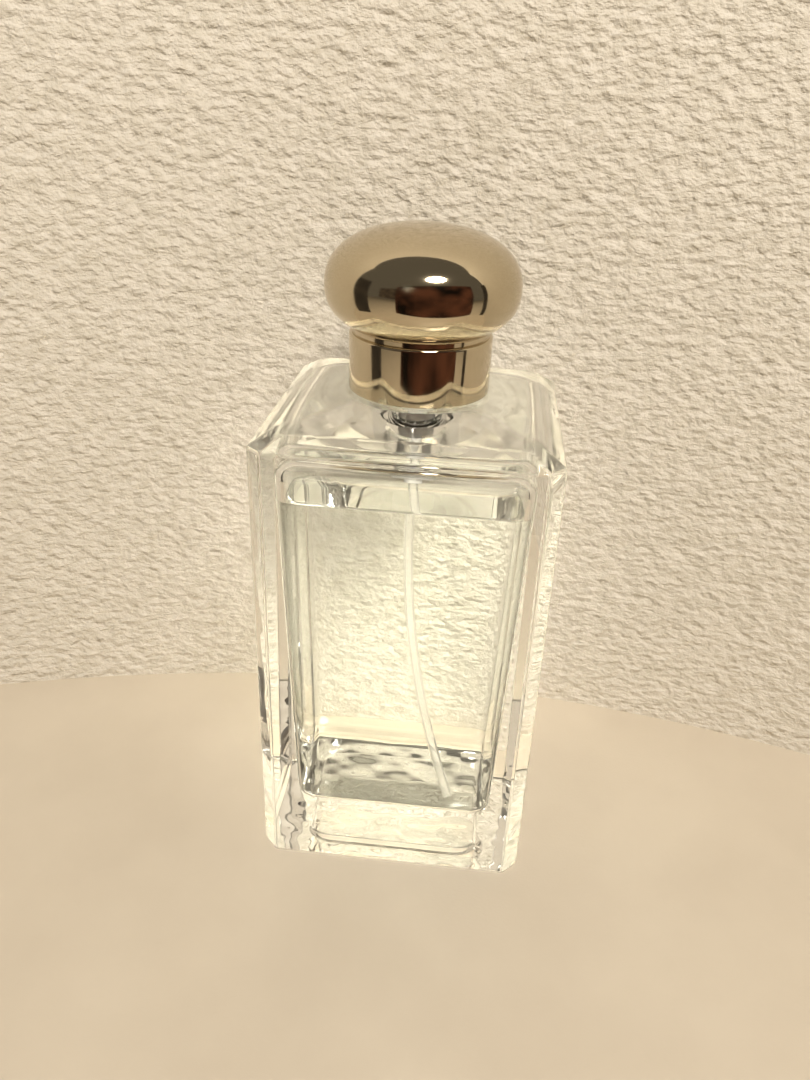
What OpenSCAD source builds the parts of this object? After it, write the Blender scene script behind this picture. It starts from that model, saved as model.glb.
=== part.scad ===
// Square glass perfume bottle with a crimped spray pump and a mushroom-shaped metal cap.
// Millimetres, +Z up, origin at the centre of the base on the table, nozzle facing -Y.

/* [Glass body] */
// Width of the glass body, side to side
body_w = 56; // [44:0.5:72]
// Depth of the glass body, front to back
body_d = 56; // [44:0.5:72]
// Height from the table to the rim where the top bevel starts
body_h = 94.4; // [75:0.1:125]
// Width of the flat that takes off each upright corner
corner_cut = 3; // [1:0.1:5]
// Height and width of the small cut round the foot
heel_cut = 1.2; // [0.4:0.1:2.5]
// Thickness of the side walls at the top of the chamber
wall_t = 4.2; // [3:0.1:7]
// Thickness of the side walls at the chamber's floor
wall_foot_t = 7.2; // [4:0.1:10]
// Thickness of the heavy glass base
base_t = 12; // [6:0.1:16]
// Width of the flat rim of glass that the bottle stands on
foot_w = 9; // [5:0.1:12]
// Depth of the recess under the base
punt_depth = 1.2; // [0.4:0.1:3]
// Corner radius of the recess under the base
punt_r = 6; // [3:0.1:10]

/* [Shoulder] */
// Width of the bevel round the rim, seen from above
bevel_in = 4; // [2:0.1:6]
// Height of the bevel round the rim
bevel_up = 2.5; // [1:0.1:5]
// Width of the corner flat at the top of the bevel
bevel_cut = 2.2; // [0.5:0.1:5]
// Rise of the sloping shoulder from the bevel to the round land
shoulder_up = 1.9; // [0.5:0.1:6]
// Width of the land that shows outside the cap
land_margin = 0.9; // [0.3:0.1:2]
// Thickness of the glass over the inner chamber at the land
roof_t = 7; // [4:0.1:10]

/* [Inner chamber] */
// Radius of the chamber's upright corners
chamber_r = 4.5; // [4:0.1:9]
// Radius where the chamber's walls meet its floor
floor_r = 3; // [1:0.1:3.5]
// Radius where the chamber's walls meet its roof
roof_r = 3.9; // [1:0.1:3.9]
// Depth of the air space over the liquid
air_gap = 7.8; // [2:0.1:25]

/* [Neck] */
// Height of the neck above the land
neck_h = 6; // [5:0.1:8]
// Radius of the neck under its bead
neck_r = 6.5; // [6.3:0.1:6.8]
// Radius of the bead that the ferrule is crimped under
bead_r = 7.4; // [7:0.1:8]
// Height of the bead
bead_h = 3.3; // [2.5:0.1:4]
// Radius of the hole through the neck
neck_bore_r = 5.3; // [5:0.05:5.5]

/* [Crimp and collar] */
// Thickness of the soft washer on the neck
neck_gasket_t = 0.9; // [0.5:0.1:1.5]
// Thickness of the ferrule's sheet metal
ferrule_t = 0.4; // [0.2:0.05:0.6]
// Thickness of the collar's sheet metal
collar_t = 0.4; // [0.2:0.05:0.6]
// Thickness of the plastic walls and ribs inside the collar
liner_t = 0.8; // [0.5:0.1:1.2]
// Number of ribs inside the collar
liner_ribs = 12; // [6:1:18]

/* [Pump] */
// How far the spray button travels
travel = 4.2; // [2.5:0.1:5.5]
// Outer radius of the pump housing in the neck
housing_r = 4.3; // [4.2:0.05:4.6]
// Thickness of the pump housing's wall
housing_t = 1.2; // [0.8:0.05:1.4]
// Thickness of the housing's flange on the washer
flange_t = 0.9; // [0.6:0.1:1.5]
// Thickness of the turret's disc over the flange
turret_t = 0.8; // [0.6:0.1:1.5]
// Height of the turret's boss that guides the stem
boss_h = 1.6; // [1:0.1:2.5]
// Thickness of the seal round the stem
stem_gasket_t = 0.8; // [0.5:0.1:1.2]
// Outer radius of the hollow stem
stem_r = 1.55; // [1.4:0.05:1.7]
// Radius of the channel through the stem
stem_bore_r = 0.85; // [0.7:0.05:1]
// Height of the piston's sealing rim
piston_h = 2.2; // [1.5:0.1:3]
// How far the piston slips up the stem to let the spray out
piston_slip = 0.6; // [0.3:0.05:1]
// Wire thickness of both springs
wire_d = 0.4; // [0.3:0.02:0.45]
// Turns in the return spring
return_turns = 5.5; // [4:0.5:7]
// Turns in the piston's own spring
slip_turns = 3.5; // [2.5:0.5:4]
// Radius of the check ball
ball_r = 1.2; // [0.9:0.05:1.3]
// How far the check ball lifts
ball_lift = 0.6; // [0.3:0.05:1]

/* [Dip tube] */
// Outer radius of the dip tube
tube_r = 1; // [0.8:0.05:1.2]
// Wall thickness of the dip tube
tube_t = 0.35; // [0.2:0.05:0.45]
// Length of the tube that is pushed into the housing
tube_grip = 3.6; // [2.5:0.1:5]
// Straight length of the tube below the housing
tube_straight = 14; // [5:0.5:25]
// Gap between the tube's tip and the nearest wall's middle
tube_side_gap = 1.8; // [0.5:0.1:4]
// Gap between the tube's tip and the floor
tube_floor_gap = 0.5; // [0.3:0.1:3]
// Direction that the tube curls in, from +X towards +Y
tube_heading = -51; // [-180:1:180]

/* [Spray button] */
// Radius of the button's metal shell
button_r = 7; // [6:0.1:7.2]
// Height of the button
button_h = 9.2; // [8:0.1:12]
// Thickness of the button's metal shell
button_t = 0.45; // [0.3:0.05:0.7]
// Rounding of the button's top edge
button_round = 1; // [0.6:0.1:1.5]
// Radius of the nozzle insert
nozzle_r = 2.2; // [1.8:0.05:2.4]
// Radius of the spray hole
orifice_r = 0.16; // [0.1:0.01:0.3]

/* [Cap] */
// Radius of the cap's straight skirt
skirt_r = 13.64; // [12.6:0.02:16.5]
// Thickness of the skirt's metal wall
skirt_t = 0.9; // [0.6:0.05:1.2]
// Thickness of the cap's plastic insert
insert_t = 0.9; // [0.7:0.05:1.2]
// How far the dome stands out over the skirt
dome_over = 4.66; // [2:0.02:6]
// Height of the dome above its widest line
dome_up = 10.87; // [8:0.01:13.5]
// Height of the dome below its widest line
dome_down = 9.78; // [8:0.01:11.8]
// Squareness of the dome's upper half
dome_pow_up = 2.25; // [2:0.05:3]
// Squareness of the dome's lower half
dome_pow_down = 2.36; // [2:0.02:3]
// Metal left over the insert at the top of the cap
crown_t = 4.2; // [3:0.1:6]
// Depth of the groove between skirt and dome, and rounding of the skirt's top edge
groove_in = 0.6; // [0.2:0.05:0.8]
// Height of the groove between skirt and dome
groove_h = 0.9; // [0.3:0.05:1.5]

/* [Clearances] */
// Gap between the cap's skirt and the glass land
skirt_gap = 0.6; // [0.2:0.05:1.5]
// Radial gap of every running fit
run_fit = 0.05; // [0.02:0.01:0.1]
// Gap between the cap's insert and what it rests on
rest_gap = 0.03; // [0.02:0.01:0.1]
// Gap over the ferrule when the button is fully down
press_gap = 0.5; // [0.3:0.1:1.5]
// Air between the button and the roof of the cap's insert
cap_air = 2.8; // [1:0.1:6]
// Gap between the liquid and everything that it touches
wet_gap = 0.02; // [0.01:0.01:0.1]

/* [Hidden] */

// Facets: fine for turned parts, coarse for the shapes that are hulled
turned_fn = 96;
hulled_fn = 32;
arc_steps = 6;
dome_steps = 40;
// A cut runs this far past the face that it opens, and a joined piece starts this far inside its neighbour
over = 1;
sink = 0.5;
// Small cuts on turned edges
edge_cut = 0.3;
rim_cut = 0.4;

// Colours
glass_tint = [0.86, 0.92, 0.88, 0.35];
liquid_tint = [0.97, 0.95, 0.86, 0.45];
metal_tint = [0.78, 0.73, 0.64];
steel_tint = [0.72, 0.73, 0.75];
white_plastic = [0.93, 0.93, 0.91];
clear_plastic = [0.88, 0.90, 0.90, 0.6];
rubber_tint = [0.30, 0.30, 0.31];

// Glass levels
bevel_z = body_h + bevel_up;
land_z = bevel_z + shoulder_up;
roof_z = land_z - roof_t;
neck_z = land_z + neck_h;
land_r = skirt_r + land_margin;
roof_w = body_w - 2 * wall_t;
roof_d = body_d - 2 * wall_t;
floor_w = body_w - 2 * wall_foot_t;
floor_d = body_d - 2 * wall_foot_t;
liquid_z = roof_z - air_gap;

// Crimp levels, from the neck up
flange_z = neck_z + neck_gasket_t;
turret_z = flange_z + flange_t;
disc_top = turret_z + turret_t;
ferrule_top = disc_top + ferrule_t;
boss_top = disc_top + boss_h;
flange_r = bead_r - 0.2;
ferrule_r = bead_r + ferrule_t;
crimp_z = neck_z - bead_h;
boss_r = stem_r + 1.95;

// Pump levels, from the stem's seal down
seal_z = turret_z - stem_gasket_t;
seal_r = housing_r - housing_t + 0.5;
bore_r = housing_r - housing_t;
stem_top_plate = seal_z - rest_gap;
stem_plate_t = 0.8;
stem_plate_r = bore_r - 0.4;
slip_spring_h = (slip_turns + 1) * wire_d + piston_slip;
slip_spring_top = stem_top_plate - stem_plate_t;
piston_top = slip_spring_top - slip_spring_h;
piston_z = piston_top - piston_h;
pin_head_h = 1.6;
pin_head_r = bore_r - 1;
pin_z = piston_z - pin_head_h;
cage_h = 2.2;
return_spring_h = travel + max((return_turns + 1) * wire_d, cage_h) + 0.2;
spring_seat_z = pin_z - return_spring_h;
spring_r = bore_r - 0.45 - wire_d / 2;
slip_spring_r = stem_r + 0.25 + wire_d / 2;
ball_room_r = ball_r + 0.2;
cage_r = ball_room_r + 0.45;
inlet_r = ball_r * sin(45);
seat_z = spring_seat_z - inlet_r - 0.3;
ball_z = seat_z + ball_r * cos(45) + rest_gap;
lug_z = ball_z + ball_r + ball_lift - 0.25;
socket_top = seat_z - 0.6;
socket_z = socket_top - tube_grip;
socket_r = tube_r + 0.8;
housing_foot_z = seat_z - 0.6;

// Dip tube curl: an arc that leaves the straight part smoothly and ends beside the wall
bend_z = socket_z - tube_straight;
tip_z = base_t + tube_floor_gap + tube_r;
tube_drop = bend_z - tip_z;
tube_reach = min(floor_w, floor_d) / 2 - tube_side_gap;
curl_r = (pow(tube_drop, 2) + pow(tube_reach, 2)) / (2 * tube_reach);
curl_angle = asin(tube_drop / curl_r);

// Button levels
button_z = ferrule_top + travel + press_gap;
button_top = button_z + button_h;
core_r = button_r - button_t;
core_top = button_top - button_t;
hollow_r = boss_r + 0.5;
hollow_z = button_z + max(boss_top - ferrule_top, 0) + 0.6;
stem_top = hollow_z + 3;
nozzle_z = core_top - nozzle_r - 0.7;
nozzle_depth = 2.6;
nozzle_face_t = 0.6;
post_r = nozzle_r - 0.9;
post_gap = 0.15;
feed_r = 0.5;
feed_z = nozzle_z + post_r - post_gap / 2;

// Cap levels: the roof of the insert clears the button, and the dome hangs from its own top
pocket_r = skirt_r - skirt_t;
insert_r = pocket_r;
insert_bore_r = insert_r - insert_t;
collar_r = insert_bore_r - run_fit;
collar_top = ferrule_top + collar_t + rest_gap;
skirt_z = land_z + skirt_gap;
insert_z = skirt_z + 0.5;
insert_roof = button_top + cap_air;
insert_top = insert_roof + insert_t;
cap_top = insert_top + crown_t;
dome_z = cap_top - dome_up;
dome_r = skirt_r + dome_over;
stop_r = insert_bore_r - 1.2;
stop_h = 1.2;
stop_w = 1.2;
stop_count = 6;

// Half-width of a superellipse of revolution at the share t of its height
function bulge(t, p) = pow(1 - pow(t, p), 1 / p);
// Depth below the widest line at which the dome's underside has the radius r
function under(r) = dome_down * bulge(r / dome_r, dome_pow_down);

// Outline of a rectangle with its corners cut, half sizes a and b, cut k, at the height z
function cut_ring(a, b, k, z) = [
    [a, -b + k, z], [a, b - k, z], [a - k, b, z], [-a + k, b, z],
    [-a, b - k, z], [-a, -b + k, z], [-a + k, -b, z], [a - k, -b, z]
];

// Closed solid through rings of n points, listed from the bottom up
module stack(rings) {
    n = len(rings[0]);
    last = len(rings) - 1;
    points = [for (ring = rings) each ring];
    sides = [for (i = [0 : last - 1], j = [0 : n - 1])
        [i * n + j, (i + 1) * n + j, (i + 1) * n + (j + 1) % n, i * n + (j + 1) % n]];
    polyhedron(points, concat(sides, [[for (j = [0 : n - 1]) j]],
        [[for (j = [n - 1 : -1 : 0]) last * n + j]]), convexity = 4);
}

// Ring from the radius r1 to r2 and the height z1 to z2
module ring(r1, r2, z1, z2) {
    translate([0, 0, z1]) difference() {
        cylinder(r = r2, h = z2 - z1, $fn = turned_fn);
        translate([0, 0, -over]) cylinder(r = r1, h = z2 - z1 + 2 * over, $fn = turned_fn);
    }
}

// Turned part from a half outline of [radius, height] points
module turned(points) {
    rotate_extrude($fn = turned_fn) polygon(points);
}

// Round post for one corner of the chamber, with its lower or upper edge rounded by the radius edge
module corner_post(r, h, edge, upper) {
    turns = [for (i = [0 : arc_steps]) 90 * i / arc_steps];
    low = [for (a = turns) [r - edge + edge * sin(a), edge - edge * cos(a)]];
    high = [for (a = turns) [r - edge + edge * cos(a), h - edge + edge * sin(a)]];
    rotate_extrude($fn = hulled_fn)
        polygon(upper ? concat([[0, 0], [r, 0]], high, [[0, h]]) : concat([[0, 0]], low, [[r, h], [0, h]]));
}

// Inner chamber of the glass, wider at its roof than at its floor, shrunk by gap on every side
module chamber(gap) {
    r = chamber_r - gap;
    h = roof_r + 1;
    hull() for (sx = [-1, 1], sy = [-1, 1]) {
        translate([sx * (floor_w / 2 - chamber_r), sy * (floor_d / 2 - chamber_r), base_t + gap])
            corner_post(r, h, floor_r, false);
        translate([sx * (roof_w / 2 - chamber_r), sy * (roof_d / 2 - chamber_r), roof_z - gap - h])
            corner_post(r, h, roof_r, true);
    }
}

// Shallow recess under the base
module punt() {
    w = body_w / 2 - foot_w - punt_r;
    d = body_d / 2 - foot_w - punt_r;
    hull() for (sx = [-1, 1], sy = [-1, 1]) {
        translate([sx * w, sy * d, -over]) cylinder(r = punt_r, h = punt_depth + over, $fn = hulled_fn);
    }
}

// Spring of round wire with its last turn at each end lying flat
module coil(mean_r, height, turns) {
    steps = 14;
    sides = 8;
    count = ceil(turns * steps);
    flat = wire_d * 1.1;
    pitch = (height - wire_d - 2 * flat) / (turns - 2);
    level = function (n) n < 1 ? n * flat : n > turns - 1 ? height - wire_d - (turns - n) * flat
        : flat + (n - 1) * pitch;
    rings = [for (i = [0 : count])
        let (n = turns * i / count, a = 360 * n)
        [for (j = [0 : sides - 1])
            let (b = -360 * j / sides, r = mean_r + wire_d / 2 * cos(b))
            [r * cos(a), r * sin(a), wire_d / 2 + level(n) + wire_d / 2 * sin(b)]]];
    stack(rings);
}

// Point on the dip tube's centre line and its lean from upright, at the share t of the curl
function curl_point(t) = [curl_r * (1 - cos(curl_angle * t)), 0, bend_z - curl_r * sin(curl_angle * t)];

// Round bar of the radius r along the dip tube's path, from the height top to past beyond its tip
module tube_path(r, top, past) {
    sides = 20;
    steps = 16;
    disc = function (centre, lean) [for (j = [0 : sides - 1])
        let (b = 360 * j / sides, u = r * cos(b), v = r * sin(b))
        centre + [u * cos(lean), v, u * sin(lean)]];
    end = 1 + past / (curl_r * curl_angle * PI / 180);
    curl = [for (i = [steps : -1 : 0])
        let (t = end * i / steps)
        disc(curl_point(t), curl_angle * t)];
    rotate([0, 0, tube_heading]) stack(concat(curl, [disc([0, 0, top], 0)]));
}

// Heavy square glass with a bevelled rim, a sloping shoulder and a crimp neck
module glass_bottle() color(glass_tint) {
    a = body_w / 2;
    b = body_d / 2;
    difference() {
        union() {
            stack([
                cut_ring(a - heel_cut, b - heel_cut, corner_cut, 0),
                cut_ring(a, b, corner_cut, heel_cut),
                cut_ring(a, b, corner_cut, body_h),
                cut_ring(a - bevel_in, b - bevel_in, bevel_cut, bevel_z)
            ]);
            hull() {
                stack([
                    cut_ring(a - bevel_in, b - bevel_in, bevel_cut, bevel_z - sink),
                    cut_ring(a - bevel_in, b - bevel_in, bevel_cut, bevel_z)
                ]);
                translate([0, 0, bevel_z]) cylinder(r = land_r, h = shoulder_up, $fn = hulled_fn * 2);
            }
            turned([
                [0, land_z - sink], [neck_r, land_z - sink], [neck_r, crimp_z - sink],
                [bead_r - edge_cut, crimp_z], [bead_r, crimp_z + edge_cut], [bead_r, neck_z - rim_cut],
                [bead_r - rim_cut, neck_z], [0, neck_z]
            ]);
        }
        chamber(0);
        punt();
        translate([0, 0, roof_z - over])
            cylinder(r = neck_bore_r, h = roof_t + neck_h + 2 * over, $fn = turned_fn);
    }
}

// Clear perfume up to its level, open where the tube and the housing stand in it
module perfume_liquid() color(liquid_tint) {
    difference() {
        intersection() {
            chamber(wet_gap);
            translate([-body_w / 2, -body_d / 2, 0]) cube([body_w, body_d, liquid_z]);
        }
        tube_path(tube_r + wet_gap, liquid_z + over, wet_gap);
        translate([0, 0, socket_z - wet_gap])
            cylinder(r = socket_r + wet_gap, h = roof_z, $fn = turned_fn);
        translate([0, 0, housing_foot_z - wet_gap])
            cylinder(r = housing_r + wet_gap, h = roof_z, $fn = turned_fn);
    }
}

// Thin curled tube that draws the perfume up from the base
module dip_tube() color(clear_plastic) {
    difference() {
        tube_path(tube_r, socket_top, 0);
        tube_path(tube_r - tube_t, socket_top + over, over);
    }
}

// Soft washer between the neck and the pump's flange
module neck_gasket() color(rubber_tint) {
    ring(housing_r + run_fit, flange_r, neck_z, flange_z);
}

// Pump housing: flange, barrel, ball seat, ball cage and a socket for the dip tube
module pump_housing() color(white_plastic) {
    slots = 3;
    slot_w = 1;
    lug_in = 0.55;
    difference() {
        ring(ball_room_r, cage_r, spring_seat_z - 0.3, spring_seat_z + cage_h);
        for (i = [0 : slots - 1]) {
            rotate([0, 0, 360 * i / slots]) translate([0, -slot_w / 2, spring_seat_z])
                cube([cage_r + over, slot_w, cage_h + over]);
        }
    }
    for (i = [0 : slots - 1]) {
        rotate([0, 0, 360 * (i + 0.5) / slots]) translate([ball_room_r - lug_in, -slot_w / 2, lug_z])
            cube([lug_in + 0.2, slot_w, spring_seat_z + cage_h - lug_z]);
    }
    turned([
        [seal_r, turret_z], [flange_r, turret_z], [flange_r, flange_z], [housing_r, flange_z],
        [housing_r, housing_foot_z + 0.8], [housing_r - 0.8, housing_foot_z], [socket_r, housing_foot_z],
        [socket_r, socket_z], [tube_r, socket_z], [tube_r, socket_top],
        [tube_r - tube_t, socket_top], [tube_r - tube_t, seat_z - inlet_r + tube_r - tube_t],
        [ball_room_r, seat_z + ball_room_r - inlet_r], [ball_room_r, spring_seat_z],
        [bore_r, spring_seat_z], [bore_r, seal_z], [seal_r, seal_z]
    ]);
}

// Ball that closes the inlet while the pump is pressed
module check_ball() color(steel_tint) {
    translate([0, 0, ball_z]) sphere(r = ball_r, $fn = turned_fn);
}

// Spring that lifts the stem and the button back up
module return_spring() color(steel_tint) {
    translate([0, 0, spring_seat_z]) coil(spring_r, return_spring_h, return_turns);
}

// Pin pressed into the stem, whose head closes the piston's hole; flats on its stalk let the spray pass
module plunger_pin() color(white_plastic) {
    stalk_top = slip_spring_top + stem_plate_t;
    flat_x = stem_bore_r * 0.65;
    root = 0.2;
    cut = 0.5;
    turned([
        [0, pin_z], [pin_head_r - cut, pin_z], [pin_head_r, pin_z + cut], [pin_head_r, piston_z - cut],
        [pin_head_r - cut, piston_z], [0, piston_z]
    ]);
    intersection() {
        translate([0, 0, piston_z - root])
            cylinder(r = stem_bore_r, h = stalk_top - piston_z + root, $fn = turned_fn);
        translate([-flat_x, -stem_bore_r, piston_z - root])
            cube([2 * flat_x, 2 * stem_bore_r, stalk_top - piston_z + root]);
    }
}

// Piston that wipes the housing's bore and slides a little on the stem
module pump_piston() color(clear_plastic) {
    lip = 0.5;
    rim_r = bore_r - run_fit;
    turned([
        [stem_r + run_fit, piston_z], [rim_r - lip, piston_z], [rim_r, piston_z - lip / 2],
        [rim_r, piston_z + lip], [rim_r - lip, piston_z + 2 * lip], [rim_r, piston_top - lip],
        [rim_r, piston_top], [stem_r + run_fit, piston_top]
    ]);
}

// Small spring that holds the piston down on the pin's head
module piston_spring() color(steel_tint) {
    translate([0, 0, piston_top]) coil(slip_spring_r, slip_spring_h, slip_turns);
}

// Hollow stem with a plate that stops it under its seal
module pump_stem() color(white_plastic) {
    turned([
        [stem_bore_r, piston_z], [stem_r, piston_z], [stem_r, slip_spring_top],
        [stem_plate_r, slip_spring_top], [stem_plate_r, stem_top_plate], [stem_r, stem_top_plate],
        [stem_r, stem_top - edge_cut], [stem_r - edge_cut, stem_top], [stem_bore_r, stem_top]
    ]);
}

// Seal that the stem slides through
module stem_gasket() color(rubber_tint) {
    ring(stem_r + run_fit, seal_r, seal_z, turret_z);
}

// Plastic turret that closes the housing and guides the stem
module turret() color(white_plastic) {
    turned([
        [stem_r + run_fit, turret_z], [flange_r, turret_z], [flange_r, disc_top], [boss_r, disc_top],
        [boss_r, boss_top - edge_cut], [boss_r - edge_cut, boss_top], [stem_r + run_fit, boss_top]
    ]);
}

// Metal ferrule folded under the neck's bead
module crimp_ferrule() color(metal_tint) {
    fold_z = crimp_z - 0.9;
    fold_in = 0.15;
    fold_mid = 0.35;
    fold_out = 0.6;
    turned([
        [boss_r, disc_top], [flange_r, disc_top], [bead_r, disc_top + flange_r - bead_r],
        [bead_r, crimp_z + edge_cut], [bead_r - edge_cut, crimp_z], [neck_r + fold_mid, crimp_z - fold_mid],
        [neck_r + fold_in, fold_z + fold_mid - fold_in], [neck_r + fold_mid, fold_z],
        [neck_r + fold_out, fold_z], [ferrule_r, crimp_z], [ferrule_r, ferrule_top - edge_cut],
        [ferrule_r - edge_cut, ferrule_top], [boss_r, ferrule_top]
    ]);
}

// Ribbed plastic ring that centres the collar on the ferrule
module collar_liner() color(white_plastic) {
    outer = collar_r - collar_t;
    inner = ferrule_r;
    top = collar_top - collar_t;
    ring(outer - liner_t, outer, land_z, top);
    ring(inner, inner + liner_t, crimp_z, top);
    ring(inner, outer, top - liner_t, top);
    for (i = [0 : liner_ribs - 1]) {
        rotate([0, 0, 360 * i / liner_ribs])
            translate([inner + liner_t / 2, -liner_t / 2, crimp_z])
                cube([outer - inner - liner_t, liner_t, top - crimp_z - liner_t / 2]);
    }
}

// Polished collar that hides the ferrule
module collar_sleeve() color(metal_tint) {
    lip_r = button_r + 0.6;
    turned([
        [collar_r - collar_t, land_z], [collar_r, land_z], [collar_r, collar_top - edge_cut],
        [collar_r - edge_cut, collar_top], [lip_r, collar_top], [lip_r, collar_top - collar_t],
        [collar_r - collar_t, collar_top - collar_t]
    ]);
}

// Plastic heart of the button: stem socket, feed channel and nozzle seat
module button_core() color(white_plastic) {
    difference() {
        translate([0, 0, button_z]) cylinder(r = core_r, h = core_top - button_z, $fn = turned_fn);
        translate([0, 0, button_z - over])
            cylinder(r = hollow_r, h = hollow_z - button_z + over, $fn = turned_fn);
        translate([0, 0, hollow_z - over])
            cylinder(r = stem_r + run_fit, h = stem_top + rest_gap - hollow_z + over, $fn = turned_fn);
        translate([0, 0, stem_top - over])
            cylinder(r = feed_r, h = feed_z - stem_top + over, $fn = turned_fn);
        translate([0, 0, feed_z]) rotate([90, 0, 0])
            cylinder(r = feed_r, h = core_r - nozzle_depth + post_gap, $fn = turned_fn);
        translate([0, -core_r + nozzle_depth, nozzle_z]) rotate([90, 0, 0]) difference() {
            cylinder(r = nozzle_r, h = nozzle_depth + over, $fn = turned_fn);
            translate([0, 0, -over]) cylinder(r = post_r - post_gap,
                h = nozzle_depth - nozzle_face_t - 2 * post_gap + over, $fn = turned_fn);
        }
    }
}

// Metal cover of the button with a window for the nozzle
module button_shell() color(metal_tint) {
    c = button_round;
    difference() {
        turned(concat(
            [[0, core_top], [core_r, core_top], [core_r, button_z], [button_r, button_z]],
            [for (i = [0 : arc_steps])
                [button_r - c + c * cos(90 * i / arc_steps), button_top - c + c * sin(90 * i / arc_steps)]],
            [[0, button_top]]));
        translate([0, 0, nozzle_z]) rotate([90, 0, 0])
            cylinder(r = nozzle_r + 0.3, h = button_r + over, $fn = turned_fn);
    }
}

// Small cup with the spray hole
module nozzle_insert() color(white_plastic) {
    translate([0, -core_r, nozzle_z]) rotate([90, 0, 0]) rotate_extrude($fn = turned_fn) polygon([
        [orifice_r, 0], [nozzle_r, 0], [nozzle_r, -nozzle_depth], [post_r, -nozzle_depth],
        [post_r, -nozzle_face_t], [orifice_r, -nozzle_face_t]
    ]);
}

// Plastic insert that slides over the collar and rests on it
module cap_insert() color(white_plastic) {
    turned([
        [insert_bore_r, insert_z], [insert_r, insert_z], [insert_r, insert_top - rim_cut],
        [insert_r - rim_cut, insert_top], [0, insert_top], [0, insert_roof], [insert_bore_r, insert_roof]
    ]);
    for (i = [0 : stop_count - 1]) {
        rotate([0, 0, 360 * i / stop_count + 30]) intersection() {
            ring(stop_r, insert_r - insert_t / 2, collar_top + rest_gap, collar_top + rest_gap + stop_h);
            translate([0, -stop_w / 2, collar_top]) cube([insert_r, stop_w, stop_h + over]);
        }
    }
}

// Heavy mushroom-shaped metal cap with a straight pocket for the insert
module cap_shell() color(metal_tint) {
    neck_in = skirt_r - groove_in;
    joint_z = dome_z - under(neck_in);
    step_z = joint_z - groove_h;
    rim = 0.25;
    step = [for (i = [0 : arc_steps])
        let (a = 90 * i / arc_steps)
        [neck_in + groove_in * cos(a), step_z - groove_in + groove_in * sin(a)]];
    lower = [for (i = [0 : dome_steps - 1])
        let (t = 1 - pow(1 - i / dome_steps, 2), r = neck_in + (dome_r - neck_in) * t)
        [r, dome_z - under(r)]];
    upper = [for (i = [0 : dome_steps])
        let (t = sin(90 * i / dome_steps))
        [dome_r * bulge(t, dome_pow_up), dome_z + dome_up * t]];
    turned(concat(
        [[pocket_r, skirt_z], [skirt_r - rim, skirt_z], [skirt_r, skirt_z + rim]],
        step, lower, upper,
        [[0, insert_top], [insert_r - rim_cut, insert_top], [pocket_r, insert_top - rim_cut]]));
}

glass_bottle();
perfume_liquid();
dip_tube();
neck_gasket();
pump_housing();
check_ball();
return_spring();
plunger_pin();
pump_piston();
piston_spring();
pump_stem();
stem_gasket();
turret();
crimp_ferrule();
collar_liner();
collar_sleeve();
button_core();
button_shell();
nozzle_insert();
cap_insert();
cap_shell();
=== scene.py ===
# %% [markdown]
# # A square glass perfume bottle with a mushroom-shaped metal cap
#
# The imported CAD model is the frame: it says where every part is and how it moves. This script gives
# the parts their looks. Polished glass and mirror metal show every facet and every sharp edge, so the
# parts that can be seen are modelled again with smooth faces and small rounded edges, at the sizes
# that the frame gives. The parts inside the pump keep their CAD shape and only get a material.

# %% Load the frame
import math

import bmesh
import bpy
from mathutils import Matrix, Vector


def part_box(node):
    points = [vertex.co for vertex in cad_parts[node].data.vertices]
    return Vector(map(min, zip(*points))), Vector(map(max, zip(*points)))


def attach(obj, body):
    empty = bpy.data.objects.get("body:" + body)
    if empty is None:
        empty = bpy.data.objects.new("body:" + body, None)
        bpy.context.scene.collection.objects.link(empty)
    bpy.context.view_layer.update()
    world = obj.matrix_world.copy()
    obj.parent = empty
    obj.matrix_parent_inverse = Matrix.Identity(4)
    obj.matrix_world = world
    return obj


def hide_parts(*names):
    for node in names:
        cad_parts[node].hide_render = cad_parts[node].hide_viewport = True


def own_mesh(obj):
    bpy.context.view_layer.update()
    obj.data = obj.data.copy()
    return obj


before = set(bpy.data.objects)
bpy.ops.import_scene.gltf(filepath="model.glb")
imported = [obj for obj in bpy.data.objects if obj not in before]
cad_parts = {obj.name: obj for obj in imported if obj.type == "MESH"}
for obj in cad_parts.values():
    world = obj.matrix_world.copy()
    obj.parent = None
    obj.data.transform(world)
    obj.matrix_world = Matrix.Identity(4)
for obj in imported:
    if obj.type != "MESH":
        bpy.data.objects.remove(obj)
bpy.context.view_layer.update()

MM = 0.001

# %% [markdown]
# ## The camera
#
# The camera comes first, because every later choice is judged through it. It stands close to the
# bottle, a little above the cap and looking down at it, which makes the body narrow towards its foot.
# Its turn is built from three plain angles: the heading, the tilt down and a slight roll.

# %% Camera
CAMERA_PLACE = Vector((12.644, -164.844, 152.414)) * MM
HEADING, TILT_DOWN, ROLL = 4.891, 27.771, 2.317
LENS = 29.246

camera_data = bpy.data.cameras.new("camera")
camera_data.lens = LENS
camera_data.clip_start = 5 * MM
camera_data.clip_end = 20
camera = bpy.data.objects.new("camera", camera_data)
turn = (Matrix.Rotation(math.radians(HEADING), 4, "Z")
        @ Matrix.Rotation(math.radians(90 - TILT_DOWN), 4, "X")
        @ Matrix.Rotation(math.radians(ROLL), 4, "Z"))
camera.matrix_world = Matrix.Translation(CAMERA_PLACE) @ turn
bpy.context.scene.collection.objects.link(camera)
bpy.context.scene.camera = camera
print("camera is", round(CAMERA_PLACE.length, 3), "m from the origin")

# %% [markdown]
# ## Helpers for modelling by hand
#
# An operator works on whatever is selected, so each helper first clears the selection. In edit mode
# a face or an edge is picked by a test on its place, as a hand would click it.

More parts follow.
